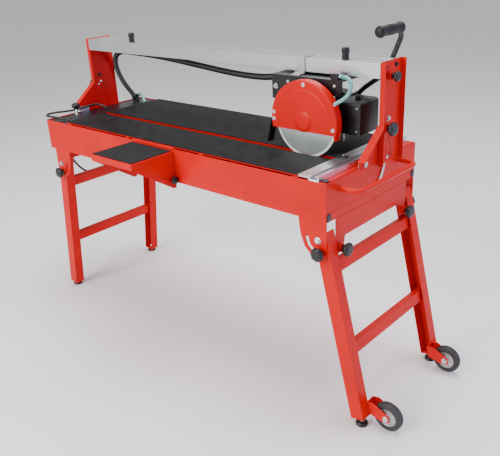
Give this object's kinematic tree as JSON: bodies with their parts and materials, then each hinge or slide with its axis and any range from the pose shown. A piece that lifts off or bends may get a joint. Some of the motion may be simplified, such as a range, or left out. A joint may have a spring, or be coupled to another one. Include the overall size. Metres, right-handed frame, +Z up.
{
  "type": "wet tile saw",
  "caption": "Bridge-type wet tile saw: water tub with ribbed mats, tilting aluminium rail with a sliding blade head, side tray, and folding legs with wheels.",
  "frame": {"origin": "on the top face of the rear mat, at the middle of the tub's length and width", "axes": "+X along the rail towards the wheeled end, +Y to the back, +Z up out of the table"},
  "size_m": [1.7102, 0.6965, 1.163],
  "materials": {
    "red_paint": "gloss powder coat",
    "aluminium": "brushed, anodised",
    "grey_steel": "satin",
    "black_paint": "satin",
    "black_plastic": "moulded, slightly glossy",
    "mat_rubber": "matt",
    "wheel_rubber": "matt tread, bright hub",
    "cable_rubber": "satin",
    "hose_green": "translucent green",
    "bolt_chrome": "bright zinc",
    "blade_steel": "ground"
  },
  "bodies": {
    "base": {"tub": "red_paint", "stand_band": "red_paint", "end_aprons": "red_paint", "leg_brackets": "red_paint", "leg_pivot_bolts": "bolt_chrome", "table_plates": "red_paint", "slot_channel": "red_paint", "table_mats": "mat_rubber", "end_ledges": "black_paint", "fence_plate": "grey_steel", "fence_rail": "aluminium", "pump_and_drain": "black_plastic", "carry_bars": "red_paint", "pivot_lugs": "grey_steel", "pump_cable": "cable_rubber", "supply_lead": "cable_rubber", "lead_fittings": "black_plastic", "riser_conduit": "cable_rubber"},
    "bridge": {"post_right": "red_paint", "post_left": "red_paint", "gussets": "red_paint", "rail": "aluminium", "post_bolts": "bolt_chrome", "run_conduit": "cable_rubber"},
    "carriage": {"trolley": "black_paint", "hanger": "black_paint", "hook_bracket": "grey_steel"},
    "head": {"head_plate": "black_paint", "motor": "black_paint", "motor_box": "black_paint", "blade_guard": "red_paint", "guard_screws": "bolt_chrome", "splash_flap": "mat_rubber", "handle_arm": "black_paint", "handle_grip": "mat_rubber", "water_hose": "hose_green"},
    "blade": {"blade": "blade_steel", "arbor": "blade_steel"},
    "right_legs": {"right_leg_frame": "red_paint", "right_feet": "black_plastic", "wheel_forks": "red_paint"},
    "left_legs": {"left_leg_frame": "red_paint", "left_feet": "black_plastic"},
    "tray": {"tray": "red_paint", "tray_pad": "mat_rubber"},
    "wheel_front": {"wheel_front": "wheel_rubber"},
    "wheel_rear": {"wheel_rear": "wheel_rubber"},
    "leg_knob_right_front": {"leg_knob_right_front": "black_plastic"},
    "leg_knob_right_rear": {"leg_knob_right_rear": "black_plastic"},
    "leg_knob_left_front": {"leg_knob_left_front": "black_plastic"},
    "leg_knob_left_rear": {"leg_knob_left_rear": "black_plastic"},
    "side_knob_front": {"side_knob_front": "black_plastic"},
    "side_knob_rear": {"side_knob_rear": "black_plastic"},
    "tilt_knob_right": {"tilt_knob_right": "black_plastic"},
    "tilt_knob_left": {"tilt_knob_left": "black_plastic"},
    "rail_knob": {"rail_knob": "black_plastic"},
    "stop_knob_left": {"stop_knob_left": "black_plastic"},
    "stop_knob_right": {"stop_knob_right": "black_plastic"},
    "tray_knob": {"tray_knob": "black_plastic"},
    "end_knob": {"end_knob": "black_plastic"}
  },
  "joints": [
    {"name": "bridge_tilt", "type": "hinge", "parent": "base", "child": "bridge", "pos_m": [0, -0.06, 0], "axis": [1, 0, 0], "range_deg": [0, 45], "deforming": ["riser_conduit"]},
    {"name": "carriage_slide", "type": "slide", "parent": "bridge", "child": "carriage", "axis": [1, 0, 0], "range_m": [-0.83, 0.02], "deforming": ["run_conduit"]},
    {"name": "head_plunge", "type": "hinge", "parent": "carriage", "child": "head", "pos_m": [0.352, -0.027, 0.19], "axis": [0, 1, 0], "range_deg": [-8, 6], "deforming": ["water_hose"]},
    {"name": "blade_spin", "type": "hinge", "parent": "head", "child": "blade", "pos_m": [0.49, -0.06, 0.102], "axis": [0, 1, 0], "continuous": true},
    {"name": "right_leg_fold", "type": "hinge", "parent": "base", "child": "right_legs", "pos_m": [0.67, 0, -0.184], "axis": [0, 1, 0], "range_deg": [0, 103]},
    {"name": "left_leg_fold", "type": "hinge", "parent": "base", "child": "left_legs", "pos_m": [-0.64, 0, -0.184], "axis": [0, -1, 0], "range_deg": [0, 97]},
    {"name": "wheel_front_spin", "type": "hinge", "parent": "right_legs", "child": "wheel_front", "pos_m": [0.89023, -0.19, -0.73322], "axis": [0, 1, 0], "continuous": true},
    {"name": "wheel_rear_spin", "type": "hinge", "parent": "right_legs", "child": "wheel_rear", "pos_m": [0.89023, 0.19, -0.73322], "axis": [0, 1, 0], "continuous": true},
    {"name": "tray_slide", "type": "slide", "parent": "base", "child": "tray", "axis": [1, 0, 0], "range_m": [-0.45, 0.5]},
    {"name": "leg_knob_right_front_turn", "type": "hinge", "parent": "right_legs", "child": "leg_knob_right_front", "pos_m": [0.67868, -0.2455, -0.221], "axis": [0, -1, 0], "range_deg": [-180, 180]},
    {"name": "leg_knob_right_rear_turn", "type": "hinge", "parent": "right_legs", "child": "leg_knob_right_rear", "pos_m": [0.67868, 0.2455, -0.221], "axis": [0, 1, 0], "range_deg": [-180, 180]},
    {"name": "leg_knob_left_front_turn", "type": "hinge", "parent": "left_legs", "child": "leg_knob_left_front", "pos_m": [-0.64476, -0.2455, -0.2217], "axis": [0, -1, 0], "range_deg": [-180, 180]},
    {"name": "leg_knob_left_rear_turn", "type": "hinge", "parent": "left_legs", "child": "leg_knob_left_rear", "pos_m": [-0.64476, 0.2455, -0.2217], "axis": [0, 1, 0], "range_deg": [-180, 180]},
    {"name": "side_knob_front_turn", "type": "hinge", "parent": "base", "child": "side_knob_front", "pos_m": [0.7125, -0.178, -0.222], "axis": [1, 0, 0], "range_deg": [-180, 180]},
    {"name": "side_knob_rear_turn", "type": "hinge", "parent": "base", "child": "side_knob_rear", "pos_m": [0.7125, 0.178, -0.222], "axis": [1, 0, 0], "range_deg": [-180, 180]},
    {"name": "tilt_knob_right_turn", "type": "hinge", "parent": "bridge", "child": "tilt_knob_right", "pos_m": [0.7225, 0.034, 0.088], "axis": [1, 0, 0], "range_deg": [-180, 180]},
    {"name": "tilt_knob_left_turn", "type": "hinge", "parent": "bridge", "child": "tilt_knob_left", "pos_m": [-0.7225, 0.034, 0.088], "axis": [-1, 0, 0], "range_deg": [-180, 180]},
    {"name": "rail_knob_turn", "type": "hinge", "parent": "bridge", "child": "rail_knob", "pos_m": [0.7225, 0.05, 0.238], "axis": [1, 0, 0], "range_deg": [-180, 180]},
    {"name": "stop_knob_left_turn", "type": "hinge", "parent": "bridge", "child": "stop_knob_left", "pos_m": [-0.44, 0.034, 0.2773], "axis": [0, 0, 1], "range_deg": [-180, 180]},
    {"name": "stop_knob_right_turn", "type": "hinge", "parent": "bridge", "child": "stop_knob_right", "pos_m": [0.57, 0.034, 0.2773], "axis": [0, 0, 1], "range_deg": [-180, 180]},
    {"name": "tray_knob_turn", "type": "hinge", "parent": "tray", "child": "tray_knob", "pos_m": [0.0765, -0.2605, -0.112], "axis": [1, 0, 0], "range_deg": [-180, 180]},
    {"name": "end_knob_turn", "type": "hinge", "parent": "base", "child": "end_knob", "pos_m": [-0.672, -0.118, 0.012], "axis": [0, 0, 1], "range_deg": [-180, 180]}
  ]
}
